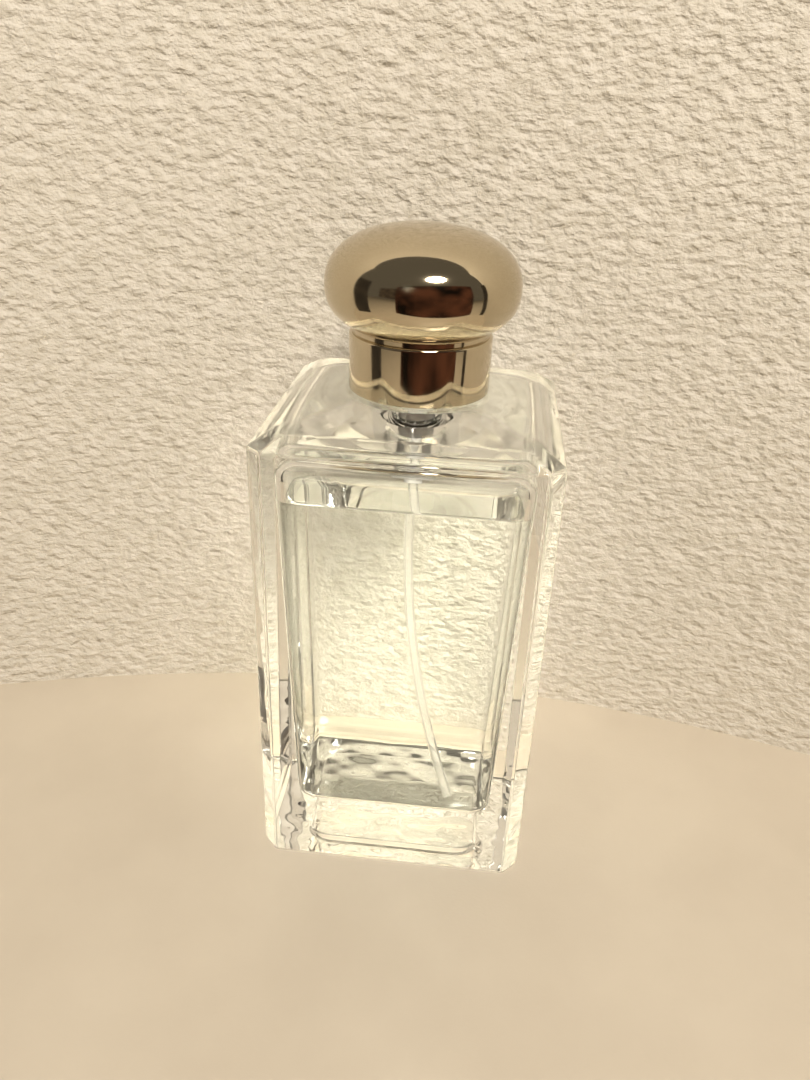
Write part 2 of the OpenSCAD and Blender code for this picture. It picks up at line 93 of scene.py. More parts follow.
# %% Modelling helpers
def begin(name):
    """Names the primitive that was just added, puts its place in its mesh and goes into edit mode."""
    piece = bpy.context.object
    piece.name = piece.data.name = name
    bpy.ops.object.transform_apply(location=True, rotation=True, scale=True)
    bpy.ops.object.mode_set(mode="EDIT")
    return piece


def pick(kind, test):
    """In edit mode, selects only the vertices, edges or faces that pass the test."""
    bpy.ops.mesh.select_mode(type=kind)
    bpy.ops.mesh.select_all(action="DESELECT")
    mesh = bmesh.from_edit_mesh(bpy.context.object.data)
    items = {"VERT": mesh.verts, "EDGE": mesh.edges, "FACE": mesh.faces}[kind]
    count = 0
    for item in items:
        if test(item):
            item.select_set(True)
            count += 1
    mesh.select_flush_mode()
    bmesh.update_edit_mesh(bpy.context.object.data)
    return count


def middle(edge):
    return (edge.verts[0].co + edge.verts[1].co) / 2


def level(item, z, slack=0.02 * MM):
    """True if every vertex of an edge or face is at the height z."""
    return all(abs(v.co.z - z) < slack for v in item.verts)


def across(vertex):
    """A vertex's distance from the bottle's axis."""
    return vertex.co.to_2d().length


def clear_selection():
    if bpy.context.object and bpy.context.object.mode != "OBJECT":
        bpy.ops.object.mode_set(mode="OBJECT")
    bpy.ops.object.select_all(action="DESELECT")


def add_cube(low, high):
    """Adds a cube between two corners. It works in object mode and in edit mode."""
    low, high = Vector(low), Vector(high)
    bpy.ops.mesh.primitive_cube_add(size=1, location=(low + high) / 2, scale=high - low)


def close_up(piece, smooth=35):
    """Leaves edit mode with the doubles merged and the normals outward, and shades the piece smooth."""
    bpy.ops.mesh.select_all(action="SELECT")
    bpy.ops.mesh.remove_doubles(threshold=0.001 * MM)
    bpy.ops.mesh.delete_loose()
    bpy.ops.mesh.select_all(action="SELECT")
    bpy.ops.mesh.normals_make_consistent(inside=False)
    bpy.ops.object.mode_set(mode="OBJECT")
    bpy.ops.object.shade_smooth_by_angle(angle=math.radians(smooth))
    mesh = bmesh.new()
    mesh.from_mesh(piece.data)
    open_edges = sum(not e.is_manifold for e in mesh.edges)
    volume = mesh.calc_volume(signed=True)
    mesh.free()
    faces = len(piece.data.polygons)
    print(piece.name, faces, "faces,", round(volume / MM ** 3), "mm3,", open_edges, "open edges")
    return piece


def weigh_normals(piece):
    """Lets the large flat faces set the shading, so that only the small round edges look round."""
    bpy.ops.object.modifier_add(type="WEIGHTED_NORMAL")
    piece.modifiers[-1].keep_sharp = True
    piece.modifiers[-1].weight = 100
    bpy.ops.object.modifier_apply(modifier=piece.modifiers[-1].name)


def lathe(name, outline, steps=128, closed=False, smooth=35):
    """A turned piece: a chain of points, (radius, height), spun round the axis as on a lathe."""
    clear_selection()
    points = [Vector((r, 0, z)) for r, z in outline]
    bpy.ops.mesh.primitive_plane_add(size=MM)
    piece = begin(name)
    bpy.ops.mesh.select_mode(type="VERT")
    bpy.ops.mesh.select_all(action="SELECT")
    bpy.ops.mesh.merge(type="CENTER")
    bpy.ops.transform.translate(value=points[0])
    for here, there in zip(points, points[1:] + points[:1] * closed):
        bpy.ops.mesh.extrude_region_move(TRANSFORM_OT_translate={"value": there - here})
    bpy.ops.mesh.select_all(action="SELECT")
    bpy.ops.mesh.spin(steps=steps, angle=2 * math.pi, center=(0, 0, 0), axis=(0, 0, 1))
    return close_up(piece, smooth)


def arc(centre, radius, start, end, steps):
    """Points on a round stretch of an outline, between two angles in degrees."""
    turns = [math.radians(start + (end - start) * i / steps) for i in range(steps + 1)]
    return [(centre[0] + radius * math.cos(a), centre[1] + radius * math.sin(a)) for a in turns]


# %% [markdown]
# ## Sizes from the frame
#
# Whatever a CAD part shows from outside is read from its box. The glass is about an inner chamber,
# and the perfume fills that chamber, so the perfume's box gives the walls and the floor. The sizes
# that no box shows, such as the roundings, are named here once.

# %% Sizes
glass_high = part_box("glass_bottle")[1]
pool_low, pool_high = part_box("perfume_liquid")
cap_low, cap_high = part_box("cap_shell")
collar_low, collar_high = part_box("collar_sleeve")
button_low, button_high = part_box("button_shell")
insert_low, insert_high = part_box("cap_insert")
tube_low, tube_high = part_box("dip_tube")
nozzle_low, nozzle_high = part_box("nozzle_insert")
return_low, return_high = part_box("return_spring")
slip_low, slip_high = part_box("piston_spring")

HALF_W, HALF_D = glass_high.x, glass_high.y
BODY_H = 94.4 * MM
CORNER_CUT, HEEL = 3 * MM, 1.2 * MM
BEVEL_IN, BEVEL_UP, BEVEL_CUT = 4 * MM, 2.5 * MM, 2.2 * MM
SHOULDER_UP, LAND_R = 1.9 * MM, 14.54 * MM
NECK_R, BEAD_R, BEAD_H, BORE_R = 6.5 * MM, 7.4 * MM, 3.3 * MM, 5.3 * MM
WET_GAP = 0.02 * MM
WALL_TOP_T, WALL_FOOT_T = 4.2 * MM, 7.2 * MM
CHAMBER_R, FLOOR_R, ROOF_R, AIR_GAP = 4.5 * MM, 3 * MM, 3.9 * MM, 7.8 * MM
FOOT_W, PUNT_R, PUNT_DEPTH = 9 * MM, 6 * MM, 1.2 * MM
PUNT_ROUND = 0.8 * PUNT_DEPTH

BEVEL_Z = BODY_H + BEVEL_UP
LAND_Z = BEVEL_Z + SHOULDER_UP
NECK_Z = glass_high.z
CRIMP_Z = NECK_Z - BEAD_H
ROOF_X, ROOF_Y = HALF_W - WALL_TOP_T, HALF_D - WALL_TOP_T
FLOOR_X, FLOOR_Y = HALF_W - WALL_FOOT_T, HALF_D - WALL_FOOT_T
FLOOR_Z = pool_low.z - WET_GAP
POOL_Z = pool_high.z
ROOF_Z = POOL_Z + AIR_GAP
print("perfume level", round(POOL_Z / MM, 2), "base", round(FLOOR_Z / MM, 2), "mm")

# %% [markdown]
# ## The glass body
#
# The real bottle is pressed and blown in a mould: a square block of clear glass with an upright
# rounded chamber inside it. It could be cut from two solids with a boolean, but that leaves long thin
# faces that spoil the reflections. It is drawn here as one closed skin instead. A cube gets its cut
# corners and its bevelled rim, the shoulder is bridged to a circle, the circle climbs the neck and
# goes down through it, and the chamber hangs from its lower end.

# %% Body and rim
RIM_POINTS = 64
LONG_EDGE = 10 * MM
LIFT = 0.05 * MM

clear_selection()
add_cube((-HALF_W, -HALF_D, 0), (HALF_W, HALF_D, BODY_H))
glass = begin("bottle_glass")
pick("EDGE", lambda e: abs(e.verts[0].co.z - e.verts[1].co.z) > LONG_EDGE)
bpy.ops.mesh.bevel(offset=CORNER_CUT, segments=1, affect="EDGES")
pick("EDGE", lambda e: level(e, 0))
bpy.ops.mesh.bevel(offset=HEEL, segments=4, affect="EDGES")
pick("FACE", lambda f: level(f, BODY_H))
bpy.ops.mesh.extrude_region_move(TRANSFORM_OT_translate={"value": (0, 0, BEVEL_UP)})
bpy.ops.transform.resize(value=(1 - BEVEL_IN / HALF_W, 1 - BEVEL_IN / HALF_D, 1),
                         center_override=(0, 0, BEVEL_Z))
rim_x, rim_y = HALF_W - BEVEL_IN, HALF_D - BEVEL_IN
narrowed = BEVEL_CUT / (CORNER_CUT * rim_x / HALF_W)
for sx in (-1, 1):
    for sy in (-1, 1):
        corner = Vector((sx * rim_x, sy * rim_y, BEVEL_Z))
        pick("VERT", lambda v: (v.co - corner).length < 2 * CORNER_CUT and v.co.z > BEVEL_Z - LIFT)
        bpy.ops.transform.resize(value=(narrowed, narrowed, 1), center_override=corner)

# %% [markdown]
# The shoulder needs as many points on the square rim as on the round land, or the bridge between them
# gets crumpled faces. Each long side of the rim is cut into equal lengths to match the circle.

# %% Shoulder
side_points = RIM_POINTS // 4 - 1
pick("EDGE", lambda e: level(e, BEVEL_Z) and e.calc_length() > LONG_EDGE)
bpy.ops.mesh.subdivide(number_cuts=side_points - 1)
pick("FACE", lambda f: level(f, BEVEL_Z))
bpy.ops.mesh.delete(type="ONLY_FACE")
half_step = math.pi / RIM_POINTS
bpy.ops.mesh.primitive_circle_add(vertices=RIM_POINTS, radius=LAND_R, location=(0, 0, LAND_Z),
                                  rotation=(0, 0, half_step))
pick("EDGE", lambda e: level(e, LAND_Z) or (level(e, BEVEL_Z) and len(e.link_faces) == 1))
bpy.ops.mesh.bridge_edge_loops(number_cuts=4, interpolation="LINEAR")

# %% [markdown]
# Where another part rests on the glass, the skin stays a hair's breadth back. Two surfaces in exactly
# the same place would fight, and clear glass would show that as black rings.

# %% Neck and bore
FILLET, BEAD_CUT, BACK = 0.5 * MM, 0.35 * MM, 0.04 * MM
seat_z, rim_z, bead_r = LAND_Z - BACK, NECK_Z - BACK, BEAD_R - BACK
neck_line = [(LAND_R - FILLET, seat_z), (NECK_R + FILLET, seat_z), (NECK_R - BACK, seat_z + FILLET),
             (NECK_R - BACK, CRIMP_Z - FILLET), (bead_r - BEAD_CUT, CRIMP_Z), (bead_r, CRIMP_Z + BEAD_CUT),
             (bead_r, rim_z - BEAD_CUT), (bead_r - BEAD_CUT, rim_z), (BORE_R, rim_z),
             (BORE_R, ROOF_Z + FILLET), (BORE_R + FILLET, ROOF_Z + LIFT)]
pick("EDGE", lambda e: level(e, LAND_Z) and len(e.link_faces) == 1)
last_r, last_z = LAND_R, LAND_Z
for r, z in neck_line:
    bpy.ops.mesh.extrude_region_move(TRANSFORM_OT_translate={"value": (0, 0, z - last_z)})
    bpy.ops.transform.resize(value=(r / last_r, r / last_r, 1), center_override=(0, 0, z))
    last_r, last_z = r, z

# %% [markdown]
# The chamber is a little wider at its roof than at its floor, as a blown chamber is, so its lower
# corners are drawn in before its edges are rounded. A cut round it at the perfume's level parts the
# dry glass from the wet glass, which bend light differently.

# %% Chamber
ARC = 8


def in_chamber(v):
    between_walls = abs(v.co.x) < ROOF_X + LIFT and abs(v.co.y) < ROOF_Y + LIFT
    return between_walls and FLOOR_Z - LIFT < v.co.z < ROOF_Z + LIFT


def hugs_chamber(item):
    return all(in_chamber(v) and across(v) > 2 * BORE_R for v in item.verts)


add_cube((-ROOF_X, -ROOF_Y, FLOOR_Z), (ROOF_X, ROOF_Y, ROOF_Z))
pick("VERT", lambda v: in_chamber(v) and v.co.z < FLOOR_Z + LIFT)
bpy.ops.transform.resize(value=(FLOOR_X / ROOF_X, FLOOR_Y / ROOF_Y, 1), center_override=(0, 0, FLOOR_Z))
pick("EDGE", lambda e: hugs_chamber(e) and abs(e.verts[0].co.z - e.verts[1].co.z) > LONG_EDGE)
bpy.ops.mesh.bevel(offset=CHAMBER_R, segments=ARC, affect="EDGES")
pick("EDGE", lambda e: level(e, FLOOR_Z))
bpy.ops.mesh.bevel(offset=FLOOR_R, segments=ARC, affect="EDGES")
pick("EDGE", lambda e: level(e, ROOF_Z) and hugs_chamber(e))
bpy.ops.mesh.bevel(offset=ROOF_R, segments=ARC, affect="EDGES")
pick("EDGE", lambda e: level(e, ROOF_Z) and hugs_chamber(e) and e.calc_length() > LONG_EDGE)
bpy.ops.mesh.subdivide(number_cuts=RIM_POINTS // 4 - ARC - 1)
pick("FACE", lambda f: level(f, ROOF_Z) and len(f.verts) > ARC)
bpy.ops.mesh.delete(type="ONLY_FACE")
pick("FACE", lambda f: hugs_chamber(f))
bpy.ops.mesh.bisect(plane_co=(0, 0, POOL_Z), plane_no=(0, 0, 1))
pick("EDGE", lambda e: level(e, ROOF_Z, 2 * LIFT) and len(e.link_faces) == 1)
bpy.ops.mesh.bridge_edge_loops()

# %% Foot and the recess under it
pick("FACE", lambda f: level(f, 0))
bpy.ops.mesh.delete(type="ONLY_FACE")
recess_x, recess_y = HALF_W - FOOT_W, HALF_D - FOOT_W
add_cube((-recess_x, -recess_y, LIFT), (recess_x, recess_y, PUNT_DEPTH))
recess_corner = Vector((recess_x, recess_y))
pick("EDGE", lambda e: (Vector(map(abs, middle(e).xy)) - recess_corner).length < LIFT)
bpy.ops.mesh.bevel(offset=PUNT_R, segments=ARC, affect="EDGES")
pick("EDGE", lambda e: level(e, PUNT_DEPTH))
bpy.ops.mesh.bevel(offset=PUNT_ROUND, segments=4, affect="EDGES")
pick("FACE", lambda f: level(f, LIFT))
bpy.ops.mesh.delete(type="ONLY_FACE")
pick("EDGE", lambda e: len(e.link_faces) == 1)
bpy.ops.mesh.bridge_edge_loops()

# %% [markdown]
# A moulded glass edge is never razor sharp. A three-step bevel half a millimetre wide on the outer
# edges gives each its thin bright line.

# %% Rounded edges
EDGE_ROUND, BLUNT_ANGLE = 0.5 * MM, math.radians(15)


def outer_edge(e):
    m = middle(e)
    outside = max(abs(m.x), abs(m.y)) > rim_x - EDGE_ROUND
    upright = abs(e.verts[0].co.z - e.verts[1].co.z) > LIFT
    return outside and e.calc_face_angle(0) > BLUNT_ANGLE and (m.z > HEEL or (m.z > 0 and upright))


print("outer edges rounded:", pick("EDGE", outer_edge))
bpy.ops.mesh.bevel(offset=EDGE_ROUND, segments=3, affect="EDGES")
close_up(glass)
weigh_normals(glass)

# %% [markdown]
# ## The perfume
#
# The perfume fills the chamber up to its level and creeps up the wall a little. Where it touches the
# glass there is no second surface: the glass wall itself bends the light into the perfume. So the
# perfume's sides and floor are clear film, and only its top is a surface that bends light.

# %% Perfume
CREEP = ((0.35 * MM, 0.25 * MM), (0.6 * MM, 0.17 * MM), (1.2 * MM, 0.08 * MM))
rise = (POOL_Z - FLOOR_Z) / (ROOF_Z - FLOOR_Z)
pool_x = FLOOR_X + (ROOF_X - FLOOR_X) * rise - WET_GAP
pool_y = FLOOR_Y + (ROOF_Y - FLOOR_Y) * rise - WET_GAP
clear_selection()
add_cube((-pool_x, -pool_y, pool_low.z), (pool_x, pool_y, POOL_Z))
perfume = begin("perfume")
pick("VERT", lambda v: v.co.z < FLOOR_Z + LIFT)
bpy.ops.transform.resize(value=((FLOOR_X - WET_GAP) / pool_x, (FLOOR_Y - WET_GAP) / pool_y, 1),
                         center_override=(0, 0, FLOOR_Z))
pick("EDGE", lambda e: abs(e.verts[0].co.z - e.verts[1].co.z) > LONG_EDGE)
bpy.ops.mesh.bevel(offset=CHAMBER_R - WET_GAP, segments=ARC, affect="EDGES")
pick("EDGE", lambda e: level(e, pool_low.z))
bpy.ops.mesh.bevel(offset=FLOOR_R, segments=ARC, affect="EDGES")
pick("FACE", lambda f: level(f, POOL_Z))
for inward, down in CREEP:
    bpy.ops.mesh.inset(thickness=inward, depth=0)
    bpy.ops.transform.translate(value=(0, 0, -down))
close_up(perfume)
weigh_normals(perfume)

# %% [markdown]
# ## The cap
#
# The cap is one heavy turned piece of plated metal: a straight skirt with a rounded top edge, a narrow
# groove, and a squashed dome above it. Both halves of the dome follow a superellipse, which is a
# little squarer than a plain ellipse. A lathe outline gives exactly that, and enough points keep a
# mirror finish free of flats.

# %% Cap
SKIRT_R, SKIRT_T, GROOVE_IN, GROOVE_H = 13.64 * MM, 0.9 * MM, 0.6 * MM, 0.9 * MM
DOME_UP, DOME_DOWN, POWER_UP, POWER_DOWN = 10.87 * MM, 9.78 * MM, 2.25, 2.36
DOME_STEPS = 40
dome_r, dome_z = cap_high.x, cap_high.z - DOME_UP
pocket_r = SKIRT_R - SKIRT_T


def bulge(share, power):
    return max(0.0, 1 - share ** power) ** (1 / power)


waist = SKIRT_R - GROOVE_IN
joint_z = dome_z - DOME_DOWN * bulge(waist / dome_r, POWER_DOWN)
step_z = joint_z - GROOVE_H
HEM, SEAM = 0.25 * MM, 0.1 * MM
outline = [(pocket_r, cap_low.z + HEM), (pocket_r + HEM, cap_low.z)]
outline += arc((SKIRT_R - HEM, cap_low.z + HEM), HEM, -90, 0, 4)
outline += arc((waist, step_z - GROOVE_IN), GROOVE_IN, 0, 90, 8)
outline += [(waist - SEAM, step_z + SEAM), (waist - SEAM, joint_z - SEAM)]
for i in range(DOME_STEPS):
    share = 1 - (1 - i / DOME_STEPS) ** 2
    r = waist + (dome_r - waist) * share
    outline.append((r, dome_z - DOME_DOWN * bulge(r / dome_r, POWER_DOWN)))
for i in range(DOME_STEPS + 1):
    share = math.sin(math.pi / 2 * i / DOME_STEPS)
    outline.append((dome_r * bulge(share, POWER_UP), dome_z + DOME_UP * share))
outline[-1] = (0, cap_high.z)
RIM_CUT = 0.4 * MM
outline += [(0, insert_high.z), (insert_high.x - RIM_CUT, insert_high.z),
            (pocket_r, insert_high.z - RIM_CUT)]
cap = lathe("cap_dome", outline, steps=160, closed=True)

# %% [markdown]
# ## Under the cap
#
# The collar is a drawn cup of thin bright metal that hides the crimped ferrule. Its upper lip turns in
# under the button. The outline goes round the sheet's thickness, with rounded bends.

# %% Collar
COLLAR_T, BEND, LIP_BEND, LIP_GAP = 0.4 * MM, 0.6 * MM, 0.2 * MM, 0.6 * MM
collar_r, lip_r = collar_high.x, button_high.x + LIP_GAP
inner_r, inner_z = collar_r - COLLAR_T, collar_high.z - COLLAR_T
collar = lathe("neck_collar", [
    (inner_r, collar_low.z), (collar_r, collar_low.z),
    *arc((collar_r - BEND, collar_high.z - BEND), BEND, 0, 90, 5),
    *arc((lip_r + LIP_BEND, collar_high.z - LIP_BEND), LIP_BEND, 90, 180, 3),
    (lip_r, inner_z), (inner_r - LIP_BEND, inner_z), (inner_r, inner_z - LIP_BEND)], closed=True)

# %% [markdown]
# The button is a plastic heart in a thin metal cup. The cup has a round window at the front for the
# nozzle. The window is the one place where a turned shape isn't enough, so a cutter takes it out.

# %% Button cup
BUTTON_T, BUTTON_ROUND, WINDOW_GAP = 0.45 * MM, MM, 0.3 * MM
button_r, core_r = button_high.x, button_high.x - BUTTON_T
nozzle_r = nozzle_high.x
nozzle_z = (nozzle_low.z + nozzle_high.z) / 2
button_cup = lathe("button_cup", [
    (0, button_high.z - BUTTON_T), (core_r - BUTTON_ROUND / 2, button_high.z - BUTTON_T),
    (core_r, button_high.z - BUTTON_T - BUTTON_ROUND / 2), (core_r, button_low.z), (button_r, button_low.z),
    *arc((button_r - BUTTON_ROUND, button_high.z - BUTTON_ROUND), BUTTON_ROUND, 0, 90, 8),
    (0, button_high.z)], closed=True)
clear_selection()
bpy.ops.mesh.primitive_cylinder_add(vertices=64, radius=nozzle_r + WINDOW_GAP, depth=2 * button_r,
                                    location=(0, -button_r, nozzle_z), rotation=(math.pi / 2, 0, 0))
window = bpy.context.object
bpy.context.view_layer.objects.active = button_cup
bpy.ops.object.modifier_add(type="BOOLEAN")
button_cup.modifiers[-1].object = window
button_cup.modifiers[-1].solver = "EXACT"
bpy.ops.object.modifier_apply(modifier=button_cup.modifiers[-1].name)
bpy.data.objects.remove(window)
clear_selection()
button_cup.select_set(True)
bpy.context.view_layer.objects.active = button_cup
bpy.ops.object.shade_smooth_by_angle(angle=math.radians(35))
print("button cup has", len(button_cup.data.polygons), "faces")

# %% [markdown]
# The nozzle is a small turned cup with the spray hole in a shallow dish. It is turned upright and then
# laid down to face the front.

# %% Nozzle
ORIFICE_R, NOZZLE_ROUND, DISH_R, DISH_IN = 0.16 * MM, 0.25 * MM, 1.1 * MM, 0.25 * MM
FACE_T, POST_R = 0.6 * MM, nozzle_r - 0.9 * MM
nozzle_depth = nozzle_high.y - nozzle_low.y
nozzle = lathe("spray_nozzle", [
    (ORIFICE_R, nozzle_depth - DISH_IN), (DISH_R, nozzle_depth - NOZZLE_ROUND / 2),
    (DISH_R + DISH_IN, nozzle_depth),
    *arc((nozzle_r - NOZZLE_ROUND, nozzle_depth - NOZZLE_ROUND), NOZZLE_ROUND, 90, 0, 4),
    (nozzle_r, 0), (POST_R, 0), (POST_R, nozzle_depth - FACE_T), (ORIFICE_R, nozzle_depth - FACE_T)],
    steps=64, closed=True)
nozzle.rotation_euler = (math.pi / 2, 0, 0)
nozzle.location = (0, nozzle_high.y, nozzle_z)
bpy.ops.object.transform_apply(location=True, rotation=True, scale=True)
print("nozzle faces -Y at", round(nozzle_low.y / MM, 2), "mm")

# %% [markdown]
# The plastic insert inside the cap slides over the collar. Six short stops inside it rest on the
# collar's top. One stop is drawn as a small rounded block and the rest are turned copies of it.

# %% Cap insert
INSERT_T, STOP_IN, STOP_W, STOP_H, STOP_COUNT = 0.9 * MM, 1.2 * MM, 1.2 * MM, 1.2 * MM, 6
STOP_ROUND = 0.15 * MM
insert_r, bore = insert_high.x, insert_high.x - INSERT_T
roof = insert_high.z - INSERT_T
cap_insert = lathe("cap_liner", [
    (bore + RIM_CUT, insert_low.z), (insert_r - RIM_CUT / 2, insert_low.z),
    (insert_r, insert_low.z + RIM_CUT / 2), (insert_r, insert_high.z - RIM_CUT),
    (insert_r - RIM_CUT, insert_high.z), (0, insert_high.z), (0, roof),
    *arc((bore - RIM_CUT, roof - RIM_CUT), RIM_CUT, 90, 0, 3), (bore, insert_low.z + RIM_CUT)], closed=True)
stops = []
for i in range(STOP_COUNT):
    clear_selection()
    add_cube((bore - STOP_IN, -STOP_W / 2, collar_high.z + WET_GAP),
             (bore + INSERT_T / 2, STOP_W / 2, collar_high.z + STOP_H))
    stop = begin(f"stop_{i}")
    bpy.ops.mesh.select_all(action="SELECT")
    bpy.ops.mesh.bevel(offset=STOP_ROUND, segments=2, affect="EDGES")
    bpy.ops.object.mode_set(mode="OBJECT")
    stop.rotation_euler = (0, 0, 2 * math.pi * (i + 0.5) / STOP_COUNT)
    bpy.ops.object.transform_apply(location=True, rotation=True, scale=True)
    stops.append(stop)
clear_selection()
for piece in (*stops, cap_insert):
    piece.select_set(True)
bpy.context.view_layer.objects.active = cap_insert
bpy.ops.object.join()
print("cap insert has", len(cap_insert.data.polygons), "faces")

# %% [markdown]
# ## The dip tube
#
# The tube hangs straight from the pump and then curls towards a corner of the floor. A circle is
# extruded up its straight length and spun round the centre of the curl for the rest, first the outside
# and then the bore. One ring lies at the perfume's level, because the tube bends light less below it.

# %% Dip tube
TUBE_R, TUBE_BORE, TUBE_STEPS, TUBE_SIDES = 1 * MM, 0.65 * MM, 48, 24
TUBE_STRAIGHT, TUBE_GRIP, TUBE_REACH, TUBE_GAP = 14 * MM, 3.6 * MM, 19 * MM, 0.5 * MM
TUBE_HEADING = math.radians(-51)
bend_z = tube_high.z - TUBE_GRIP - TUBE_STRAIGHT
tube_tip = FLOOR_Z + TUBE_GAP + TUBE_R
drop = bend_z - tube_tip
curl_r = (drop ** 2 + TUBE_REACH ** 2) / (2 * TUBE_REACH)
curl_angle = math.asin(drop / curl_r)
ahead = Vector((math.cos(TUBE_HEADING), math.sin(TUBE_HEADING), 0))
curl_centre = ahead * curl_r + Vector((0, 0, bend_z))
clear_selection()
tube = None
for radius in (TUBE_R, TUBE_BORE):
    bpy.ops.mesh.primitive_circle_add(vertices=TUBE_SIDES, radius=radius, location=(0, 0, bend_z))
    if tube is None:
        tube = begin("drawing_tube")
    bpy.ops.mesh.extrude_region_move(TRANSFORM_OT_translate={"value": (0, 0, POOL_Z - bend_z)})
    bpy.ops.mesh.extrude_region_move(TRANSFORM_OT_translate={"value": (0, 0, tube_high.z - POOL_Z)})
    pick("EDGE", lambda e: level(e, bend_z) and all(abs(across(v) - radius) < LIFT / 5 for v in e.verts))
    bpy.ops.mesh.spin(steps=TUBE_STEPS, angle=curl_angle, center=curl_centre, axis=(-ahead.y, ahead.x, 0))
for test in (lambda e: e.verts[0].co.z > bend_z, lambda e: e.verts[0].co.z < bend_z):
    pick("EDGE", lambda e: len(e.link_faces) == 1 and test(e))
    bpy.ops.mesh.bridge_edge_loops()
close_up(tube, smooth=60)
tip = min(tube.data.vertices, key=lambda v: v.co.z).co
print("tube tip, mm:", [round(c / MM, 1) for c in tip], "box low", round(tube_low.z / MM, 2))

# %% [markdown]
# ## The springs
#
# Each spring is one round wire wound into a coil. The Screw modifier winds a small circle round the
# axis while it climbs. The springs are the only parts that change length when the pump works.

# %% Springs
WIRE_D, WIRE_SIDES, SPRING_STEPS = 0.4 * MM, 10, 40
LIFT_TURNS, SLIP_TURNS = 5.5, 3.5


def wind(name, low, high, turns):
    """A coil of wire between two corners of a box, with both ends of the wire capped."""
    clear_selection()
    bpy.ops.mesh.primitive_circle_add(vertices=WIRE_SIDES, radius=WIRE_D / 2, rotation=(math.pi / 2, 0, 0),
                                      location=(high.x - WIRE_D / 2, 0, low.z + WIRE_D / 2))
    spring = begin(name)
    bpy.ops.object.mode_set(mode="OBJECT")
    bpy.ops.object.modifier_add(type="SCREW")
    screw = spring.modifiers[-1]
    screw.iterations = 1
    screw.angle = 2 * math.pi * turns
    screw.screw_offset = high.z - low.z - WIRE_D
    screw.steps = screw.render_steps = int(SPRING_STEPS * turns)
    bpy.ops.object.modifier_apply(modifier=screw.name)
    bpy.ops.object.mode_set(mode="EDIT")
    pick("EDGE", lambda e: len(e.link_faces) == 1)
    bpy.ops.mesh.edge_face_add()
    pick("EDGE", lambda e: len(e.link_faces) == 1)
    bpy.ops.mesh.fill_holes(sides=0)
    return close_up(spring, smooth=60)


lift_spring = wind("lift_spring", return_low, return_high, LIFT_TURNS)
slip_spring = wind("slip_spring", slip_low, slip_high, SLIP_TURNS)

# %% [markdown]
# ## The room
#
# A pale floor and a pale curved wall close behind the bottle, as when a small thing is put on a table
# against a wall. The wall shows through the glass, so it gets a soft plaster relief. It is only seen
# from its front: from behind it is clear, so that it never hides the bottle.

# %% Floor and wall
FLOOR_SIZE = 3.0
clear_selection()
bpy.ops.mesh.primitive_plane_add(size=FLOOR_SIZE, location=(0, 0, -BACK))
floor = begin("floor")
bpy.ops.object.mode_set(mode="OBJECT")

WALL_Y, WALL_CURVE, WALL_HALF, WALL_TOP, WALL_FOOT = 38 * MM, 344 * MM, 0.26, 0.42, 0.01
clear_selection()
bpy.ops.mesh.primitive_grid_add(x_subdivisions=64, y_subdivisions=1, size=1)
wall = begin("backdrop")
bpy.ops.object.mode_set(mode="OBJECT")
for v in wall.data.vertices:
    x = v.co.x * 2 * WALL_HALF
    v.co = (x, WALL_Y - x * x / (2 * WALL_CURVE), (v.co.y + 0.5) * WALL_TOP - WALL_FOOT)
bpy.ops.object.shade_smooth()
print("wall stands", round(WALL_Y / MM), "mm behind the bottle's axis")

# %% [markdown]
# ## Light
#
# Soft warm light comes from the whole room, and one soft lamp stands in front, above and to the right.
# A second, very weak lamp with a narrow beam puts a pale glow on the wall behind the bottle, which
# shows through the perfume.

# %% Room light and lamp
ROOM_COLOUR, ROOM_POWER = (1.0, 0.88, 0.70, 1), 0.15
world = bpy.data.worlds.new("room")
bpy.context.scene.world = world
world.use_nodes = True
world.node_tree.nodes["Background"].inputs["Color"].default_value = ROOM_COLOUR
world.node_tree.nodes["Background"].inputs["Strength"].default_value = ROOM_POWER
bpy.context.scene.view_settings.view_transform = "Standard"
light_paths = bpy.context.scene.cycles
light_paths.max_bounces, light_paths.glossy_bounces, light_paths.transmission_bounces = 20, 12, 20


def softbox(name, place, target, size, power, colour):
    data = bpy.data.lights.new(name, "AREA")
    data.shape = "ELLIPSE"
    data.size, data.size_y = size
    data.energy = power
    data.color = colour
    lamp = bpy.data.objects.new(name, data)
    lamp.location = place
    lamp.rotation_euler = (Vector(target) - Vector(place)).to_track_quat("-Z", "Y").to_euler()
    bpy.context.scene.collection.objects.link(lamp)
    return lamp


LAMP_WARM = (1.0, 0.92, 0.80)
softbox("key_lamp", (0.22, -0.52, 0.74), (0, 0, 0.08), (0.28, 0.19), 7.0, LAMP_WARM)
glow_lamp = softbox("glow_lamp", (-0.10, -0.46, 0.30), (-0.008, WALL_Y, 0.050), (0.03, 0.03), 0.005,
                    LAMP_WARM)
glow_lamp.data.spread = math.radians(10)

# %% [markdown]
# ## Writing a material in Python
#
# A wire is an output socket that can be multiplied, the only arithmetic that these finishes need, and
# a finish collects the nodes of one material. Patterns read Object coordinates, in metres, so a scale
# of 100 gives marks of about a centimetre.

# %% Material helpers
class Wire:
    """One output socket. Multiplying it adds a Math node."""

    def __init__(self, finish, socket):
        self.finish, self.socket = finish, socket

    def __mul__(self, other):
        return self.finish.node("ShaderNodeMath", {"operation": "MULTIPLY"}, {0: self, 1: other})

    __rmul__ = __mul__


